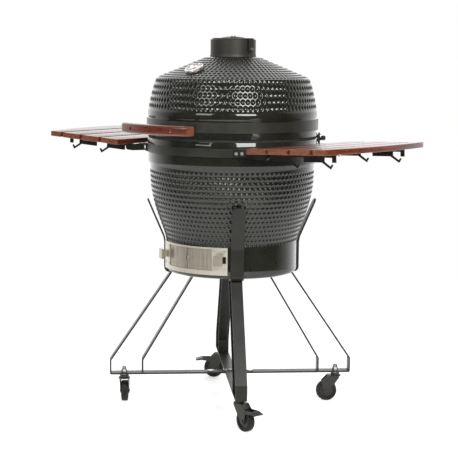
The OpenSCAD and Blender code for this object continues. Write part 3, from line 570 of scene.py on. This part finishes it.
def slat_outline(n):
    """Slat 1 is cut round the body, slats 2 and 3 are straight, and slat 4 bows outwards."""
    half = SLAT_LENGTH / 2
    x0 = SLAT_INNER + (n - 1) * SLAT_PITCH
    if n == 1:
        cut = math.sqrt(BODY_CUT_R**2 - (x0 + FOLD_X) ** 2)
        inner = arc_points(-FOLD_X, BODY_CUT_R, cut, -cut, 17)
        return [(x0, -half), (x0 + SLAT_WIDTH, -half), (x0 + SLAT_WIDTH, half), (x0, half), *inner]
    if n < 4:
        return [(x0, -half), (x0 + SLAT_WIDTH, -half), (x0 + SLAT_WIDTH, half), (x0, half)]
    bow_r = (half**2 + BOW**2) / (2 * BOW)
    tip = x0 + OUTER_WIDTH + BOW
    return [(x0, -half), *arc_points(tip - bow_r, bow_r, -half, half, 25), (x0, half)]


def shelf_matrix(joint):
    """The shelf's own frame: X outwards along its tilted top, Y along the fold axis."""
    along = Vector(joint["axis"]).normalized()
    out = along.cross(Vector((0, 0, 1)))
    x = out * math.cos(TILT) + Vector((0, 0, 1)) * math.sin(TILT)
    z = x.cross(along)
    turn = Matrix((x, along, z)).transposed().to_4x4()
    return Matrix.Translation(Vector(joint["pos_m"])) @ turn


def slat_pieces():
    for side in ("right", "left"):
        place = shelf_matrix(JOINTS[f"shelf_{side}_fold"])
        for n in (1, 2, 3, 4):
            name = f"{side}_shelf_board_{n}"
            mesh = slab(
                name, slat_outline(n), SLAT_LOW, SLAT_HIGH, SLAT_EDGE,
                (SHELF_WOOD, END_GRAIN), lambda normal: abs(normal.y) > END_FACING,
            )
            mesh.transform(place)
            add_piece(name, mesh, f"shelf_{side}", [f"shelf_{side}_slat_{n}"])


HANDLE_INNER_R = 357 * MM
HANDLE_OUTER_R = 392 * MM
HANDLE_HALF = 133 * MM
HANDLE_ROUND = 7 * MM
END_EASE = 2.5 * MM
BAR_STATIONS = 60
# The bar's section shrinks towards its ends: (share of END_EASE from the end, size).
END_SIZES = ((0, 0.86), (0.3, 0.95))
GRAIN_STEP = 5 * MM


def handle_section():
    """Rounded section of the bar: (distance outwards, height), both from its middle."""
    low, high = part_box("handle")
    half_h = (high.z - low.z) / 2
    half_d = (HANDLE_OUTER_R - HANDLE_INNER_R) / 2
    section = []
    for quarter, (sx, sz) in enumerate(((1, 1), (-1, 1), (-1, -1), (1, -1))):
        for a in np.linspace(0, math.pi / 2, 5):
            turn = quarter * math.pi / 2 + a
            d = sx * (half_d - HANDLE_ROUND) + HANDLE_ROUND * math.cos(turn)
            h = sz * (half_h - HANDLE_ROUND) + HANDLE_ROUND * math.sin(turn)
            section.append((d, h))
    return section


def handle_piece():
    """Bowed bar cut square at both ends. U runs along the bar, so the grain follows it."""
    low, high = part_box("handle")
    middle_z = (high.z + low.z) / 2
    middle_r = (HANDLE_OUTER_R + HANDLE_INNER_R) / 2
    section = handle_section()
    count = len(section)
    inner = np.linspace(-HANDLE_HALF + END_EASE, HANDLE_HALF - END_EASE, BAR_STATIONS)
    stations = [(-HANDLE_HALF + END_EASE * share, size) for share, size in END_SIZES]
    stations += [(x, 1.0) for x in inner]
    stations += [(-x, size) for x, size in stations[1::-1]]
    verts, faces, places, uvs = [], [], [], []
    for x, size in stations:
        for d, h in section:
            r = middle_r + d * size
            verts.append((x, -math.sqrt(r**2 - x**2), middle_z + h * size))
    for i in range(len(stations) - 1):
        for j in range(count):
            k = (j + 1) % count
            faces.append((i * count + j, i * count + k, (i + 1) * count + k, (i + 1) * count + j))
            places.append(0)
            here, there = stations[i][0], stations[i + 1][0]
            side, next_side = j * GRAIN_STEP, (j + 1) * GRAIN_STEP
            uvs += [(here, side), (here, next_side), (there, next_side), (there, side)]
    last = (len(stations) - 1) * count
    faces.append(tuple(range(count))[::-1])
    faces.append(tuple(range(last, last + count)))
    places += [1, 1]
    uvs += [(0, 0)] * (2 * count)
    mesh = bpy.data.meshes.new("handle_bar")
    mesh.from_pydata(verts, [], faces)
    mesh.materials.append(HANDLE_WOOD)
    mesh.materials.append(END_GRAIN)
    mesh.polygons.foreach_set("material_index", places)
    layer = mesh.uv_layers.new(name="grain")
    layer.data.foreach_set("uv", [c for uv in uvs for c in uv])
    mesh.update()
    outward(mesh)
    bar = add_piece("handle_bar", mesh, "lid", ["handle"])
    drill(bar, [handle_recess(side, middle_z) for side in (-1, 1)])


HANDLE_SCREW_A = math.radians(12)
RECESS_R = 4.5 * MM
RECESS_DEPTH = 7 * MM


def handle_recess(side, z):
    """A cylinder that stands where a handle screw sinks in."""
    turn = FRONT + side * HANDLE_SCREW_A
    r = HANDLE_OUTER_R
    place = Matrix.Translation((r * math.cos(turn), r * math.sin(turn), z))
    place = place @ Matrix.Rotation(turn, 4, "Z") @ Matrix.Rotation(math.pi / 2, 4, "Y")
    work = bmesh.new()
    bmesh.ops.create_cone(
        work, segments=24, radius1=RECESS_R, radius2=RECESS_R, depth=2 * RECESS_DEPTH,
        cap_ends=True, matrix=place,
    )
    return work


def drill(obj, tools):
    """Cuts the tools' shapes out of a piece, and leaves no tool behind."""
    for tool in tools:
        mesh = bpy.data.meshes.new("tool")
        tool.to_mesh(mesh)
        tool.free()
        cutter = bpy.data.objects.new("tool", mesh)
        bpy.context.scene.collection.objects.link(cutter)
        cut = obj.modifiers.new("hole", "BOOLEAN")
        cut.object = cutter
        cut.solver = "EXACT"
        shape = obj.evaluated_get(bpy.context.evaluated_depsgraph_get())
        new = bpy.data.meshes.new_from_object(shape)
        obj.modifiers.clear()
        obj.data = new
        bpy.data.objects.remove(cutter)


def outward(mesh):
    """Turns every face of a closed mesh outwards."""
    work = bmesh.new()
    work.from_mesh(mesh)
    bmesh.ops.recalc_face_normals(work, faces=work.faces)
    work.to_mesh(mesh)
    work.free()


# ---------------------------------------------------------------- thermometer

THERMO_TILT = math.radians(25)
DIAL_HEIGHT = 7.52 * MM
MARK_COUNT = 31
MARK_FIRST = 225
MARK_STEP = 9
MARKS_PER_LONG = 5
MARK_OUTER_R = 22.5 * MM
MARK_THICKNESS = 0.08 * MM
# A mark's length and width.
LONG_MARK = (4.5 * MM, 0.8 * MM)
SHORT_MARK = (2.4 * MM, 0.4 * MM)


def thermometer_matrix():
    """The thermometer's own frame: Z out of the dial. It comes from the pointer's joint."""
    centre = Vector(JOINTS["pointer_turn"]["pos_m"])
    return Matrix.Translation(centre) @ Matrix.Rotation(THERMO_TILT, 4, "X")


def boxes_mesh(name, boxes, material):
    """One mesh of small rotated boxes: (centre, size, angle about Z)."""
    work = bmesh.new()
    for centre, size, angle in boxes:
        place = Matrix.Translation(Vector(centre)) @ Matrix.Rotation(angle, 4, "Z")
        place = place @ Matrix.Diagonal((*size, 1.0))
        bmesh.ops.create_cube(work, size=1.0, matrix=place)
    mesh = bpy.data.meshes.new(name)
    work.to_mesh(mesh)
    work.free()
    mesh.materials.append(material)
    return mesh


def dial_marks_piece():
    """Plain strokes round the dial, with every fifth one longer."""
    marks = []
    for i in range(MARK_COUNT):
        angle = math.radians(MARK_FIRST - MARK_STEP * i)
        length, width = SHORT_MARK if i % MARKS_PER_LONG else LONG_MARK
        r = MARK_OUTER_R - length / 2
        centre = (r * math.cos(angle), r * math.sin(angle), DIAL_HEIGHT)
        marks.append((centre, (length, width, MARK_THICKNESS), angle))
    mesh = boxes_mesh("dial_marks", marks, INK)
    add_piece("dial_marks", mesh, "lid", matrix=thermometer_matrix())


TICK_R = 213.42 * MM
TICK_ANGLES = (7, 10, 13, 16, 19)
TICK_SIZE = (0.16 * MM, 0.8 * MM, 9 * MM)
TICK_LIFT = 4 * MM


def door_scale_piece():
    """Thin upright strokes on the right-hand draft door, in the colour of an engraving."""
    low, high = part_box("vent_door_right")
    middle = (low.z + high.z) / 2 + TICK_LIFT
    strokes = []
    for degrees in TICK_ANGLES:
        turn = FRONT + math.radians(degrees)
        strokes.append(((TICK_R * math.cos(turn), TICK_R * math.sin(turn), middle), TICK_SIZE, turn))
    mesh = boxes_mesh("door_scale", strokes, ENGRAVING)
    add_piece("door_scale", mesh, "draft_door_right")


HUB_R = 19 * MM


def paint_wheel(corner):
    """Dark rubber tyre with a lighter hub inside HUB_R of the axle."""
    joint = JOINTS[f"wheel_{corner}_roll"]
    axle, way = Vector(joint["pos_m"]), Vector(joint["axis"]).normalized()
    paint(RUBBER, f"wheel_{corner}")
    mesh = frame["nodes"][f"wheel_{corner}"].data
    mesh.materials.append(HUB)
    for face in mesh.polygons:
        arm = face.center - axle
        face.material_index = 1 if (arm - way * arm.dot(way)).length < HUB_R else 0


# ---------------------------------------------------------------- stage


FLOOR_R = 2.3
FLOOR_SIDES = 96


def floor_material():
    """Plain pale paper, the same to the camera and to reflections."""
    mat, b = node_material("floor_paper", 0.9, Emission_Color=(1, 1, 1, 1), Emission_Strength=0.5)
    tint = b.noise(b.coords(), 1.5, 2.0)
    b.colour(b.ramp(tint, (0.3, (0.86, 0.86, 0.86)), (0.7, (0.89, 0.89, 0.89))))
    return mat


def floor_and_world():
    mesh = bpy.data.meshes.new("floor")
    turns = np.linspace(0, 2 * math.pi, FLOOR_SIDES, endpoint=False)
    rim = [(FLOOR_R * math.cos(a), FLOOR_R * math.sin(a), 0) for a in turns]
    mesh.from_pydata(rim, [], [tuple(range(FLOOR_SIDES))])
    mesh.materials.append(floor_material())
    floor = bpy.data.objects.new("floor", mesh)
    bpy.context.scene.collection.objects.link(floor)
    studio_world()


BACKDROP_WAY = (-0.64, 0.76, 0.1)
FRONT_GREY = 0.10
BACKDROP_WHITE = 1.5
# The dot product with BACKDROP_WAY where the front's grey ends and the full white begins.
GREY_UP_TO = -0.1
WHITE_FROM = 0.75
# The height of a direction where the dimming overhead begins, how far it takes, and what is left.
BACKDROP_TOP = 0.85
TOP_FADE = 0.3
TOP_DIMMED = 0.3
SEEN_WHITE = 1.0


def map_range(tree, source, from_low, from_high, to_low, to_high):
    node = tree.nodes.new("ShaderNodeMapRange")
    for key, value in (
        ("From Min", from_low), ("From Max", from_high), ("To Min", to_low), ("To Max", to_high),
    ):
        node.inputs[key].default_value = value
    tree.links.new(source, node.inputs["Value"])
    return node.outputs["Result"]


def studio_world():
    """Bright backdrop behind the grill and a darker room in front of it; plain white where seen."""
    world = bpy.data.worlds.new("studio")
    world.use_nodes = True
    tree = world.node_tree
    way = tree.nodes.new("ShaderNodeTexCoord")
    towards = tree.nodes.new("ShaderNodeVectorMath")
    towards.operation = "DOT_PRODUCT"
    towards.inputs[1].default_value = BACKDROP_WAY
    tree.links.new(way.outputs["Generated"], towards.inputs[0])
    strength = map_range(tree, towards.outputs["Value"], GREY_UP_TO, WHITE_FROM, FRONT_GREY, BACKDROP_WHITE)
    split = tree.nodes.new("ShaderNodeSeparateXYZ")
    tree.links.new(way.outputs["Generated"], split.inputs[0])
    above = map_range(tree, split.outputs["Z"], BACKDROP_TOP, BACKDROP_TOP + TOP_FADE, 1.0, TOP_DIMMED)
    dimmed = tree.nodes.new("ShaderNodeMath")
    dimmed.operation = "MULTIPLY"
    tree.links.new(strength, dimmed.inputs[0])
    tree.links.new(above, dimmed.inputs[1])
    seen = tree.nodes.new("ShaderNodeLightPath")
    choose = tree.nodes.new("ShaderNodeMix")
    choose.inputs[MIX_FLOAT_B].default_value = SEEN_WHITE
    tree.links.new(seen.outputs["Is Camera Ray"], choose.inputs[MIX_FACTOR])
    tree.links.new(dimmed.outputs["Value"], choose.inputs[MIX_FLOAT_A])
    background = tree.nodes["Background"]
    background.inputs["Color"].default_value = (1.0, 1.0, 1.0, 1.0)
    tree.links.new(choose.outputs[MIX_FLOAT_RESULT], background.inputs["Strength"])
    bpy.context.scene.world = world
    bpy.context.scene.view_settings.view_transform = "Standard"


LIGHT_TARGET = (0, 0, 0.95)
# Name, place, width and height, and power in watts.
SOFTBOXES = (
    ("softbox_right", (2.35, -1.47, 2.15), (1.3, 1.4), 85),
    ("softbox_left", (0.1, -2.77, 2.15), (1.1, 1.4), 28),
)


def area_light(name, place, size, power):
    """A white softbox that faces LIGHT_TARGET."""
    light = bpy.data.lights.new(name, "AREA")
    light.shape = "RECTANGLE"
    light.size, light.size_y = size
    light.energy = power
    obj = bpy.data.objects.new(name, light)
    obj.location = place
    obj.rotation_euler = (Vector(LIGHT_TARGET) - Vector(place)).to_track_quat("-Z", "Y").to_euler()
    bpy.context.scene.collection.objects.link(obj)


CAMERA_DISTANCE = 4.642
CAMERA_AZIMUTH = math.radians(40.05)
CAMERA_HEIGHT = 1.185
CAMERA_PITCH = math.radians(7.67)
CAMERA_ROLL = math.radians(0.51)
CAMERA_YAW = math.radians(0.10)
LENS = 114.41
SENSOR_WIDTH = 36.0
SHIFT_Y = 0.0048


def camera():
    data = bpy.data.cameras.new("camera")
    data.lens, data.sensor_width, data.shift_y = LENS, SENSOR_WIDTH, SHIFT_Y
    obj = bpy.data.objects.new("camera", data)
    a = CAMERA_AZIMUTH
    obj.location = (CAMERA_DISTANCE * math.sin(a), -CAMERA_DISTANCE * math.cos(a), CAMERA_HEIGHT)
    forward = Matrix.Rotation(CAMERA_YAW, 3, "Z") @ Vector((-math.sin(a), math.cos(a), 0))
    right = forward.cross(Vector((0, 0, 1)))
    forward = forward * math.cos(CAMERA_PITCH) - Vector((0, 0, 1)) * math.sin(CAMERA_PITCH)
    up = right.cross(forward)
    turned_right = right * math.cos(CAMERA_ROLL) + up * math.sin(CAMERA_ROLL)
    turned_up = up * math.cos(CAMERA_ROLL) - right * math.sin(CAMERA_ROLL)
    obj.rotation_euler = Matrix((turned_right, turned_up, -forward)).transposed().to_euler()
    bpy.context.scene.collection.objects.link(obj)
    bpy.context.scene.camera = obj


# ---------------------------------------------------------------- assembly

camera()
floor_and_world()
for softbox in SOFTBOXES:
    area_light(*softbox)

paint(REFRACTORY, "firebox", "fire_ring")
paint(FELT, "base_gasket", "lid_gasket")
paint(BAND_STEEL, "lower_band", "lid_band")
paint(CAST_IRON, "charcoal_grate")
paint(GRATE_STEEL, "cooking_grate")
paint(CAP_METAL, "chimney_cap", "damper_disc")
paint(STAINLESS, "vent_frame")
paint(DOOR_STEEL_PAINTED_REFLECTION, "vent_door_left", "vent_door_right")
paint(BEZEL, "thermometer_case")
paint(DIAL, "thermometer_dial")
paint(POINTER, "thermometer_needle")
paint(ZINC, "bolts", "vent_screws", "handle_screws", "damper_bolts", "hinge_pin", "hinge_springs")
paint(ZINC, "caster_studs", "shelf_right_screws", "shelf_left_screws")
CORNERS = ("front_right", "rear_right", "rear_left", "front_left")
STEEL_STRIPS = ["cradle_strap_a", "cradle_strap_b", "foot_bar_a", "foot_bar_b"]
STEEL_STRIPS += [f"leg_{c}" for c in CORNERS]
BRACKETS = ["handle_brackets", "hinge_bracket_upper", "hinge_bracket_lower", "shelf_mounts"]
BRACKETS += ["shelf_right_arms", "shelf_left_arms"]
CASTER_STEEL = [*[f"fork_{c}" for c in CORNERS], "pedal_front_right", "pedal_rear_left"]
paint(BLACK_STEEL, *STEEL_STRIPS, *BRACKETS)
paint(FORK_STEEL, *CASTER_STEEL)
for corner in CORNERS:
    paint_wheel(corner)

# The width of the rounded edge on each CAD node, in millimetres.
EDGE_WIDTHS = {
    0.8: [*STEEL_STRIPS, "vent_screws", "handle_screws", "caster_studs"],
    0.5: BRACKETS,
    0.7: ["lower_band", "lid_band", "chimney_cap", "damper_disc", "thermometer_case"],
    1.4: ["bolts", "damper_bolts", "hinge_pin", "shelf_right_screws", "shelf_left_screws"],
    0.4: ["vent_door_left", "vent_door_right", "vent_frame"],
    0.6: CASTER_STEEL,
}
for width, nodes in EDGE_WIDTHS.items():
    soften(width * MM, *nodes)

base_piece()
lid_piece()
slat_pieces()
handle_piece()
dial_marks_piece()
door_scale_piece()
